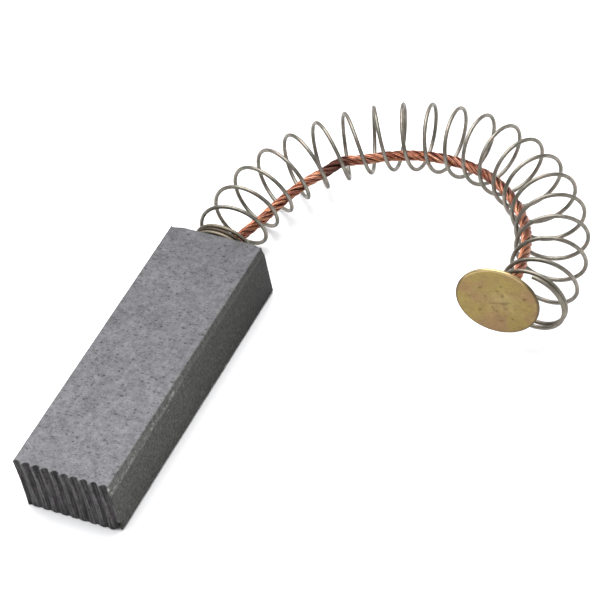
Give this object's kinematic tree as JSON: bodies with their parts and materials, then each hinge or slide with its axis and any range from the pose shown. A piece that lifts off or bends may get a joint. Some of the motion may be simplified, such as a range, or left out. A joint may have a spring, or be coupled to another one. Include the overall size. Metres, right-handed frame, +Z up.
{
  "type": "carbon brush",
  "caption": "Rectangular carbon motor brush with a grooved curved contact face, a bent coil spring, and a stranded copper lead to a round brass terminal disc.",
  "frame": {"origin": "middle of the carbon block's underside, the 8.1 x 25 mm face that it lies on", "axes": "+Z up, through the block's 5 mm thickness; +Y along the block, from the contact face at -Y to the rear face with the spring and lead at +Y; +X across the block's 8.1 mm width, to the side that the spring is bent to"},
  "size_m": [0.0327, 0.0439, 0.0089],
  "materials": {
    "carbon": "pressed and ground graphite, matt with a slight sheen",
    "tamping_powder": "tamped copper-graphite powder, matt",
    "copper": "bare stranded copper, bright with some tarnish",
    "spring_wire": "drawn steel wire, slightly tarnished",
    "terminal_brass": "stamped brass, mottled by heat"
  },
  "bodies": {
    "root": {"carbon_block": "carbon", "packed_powder": "tamping_powder", "copper_lead": "copper", "spring": "spring_wire", "terminal_cap": "terminal_brass"}
  },
  "joints": []
}
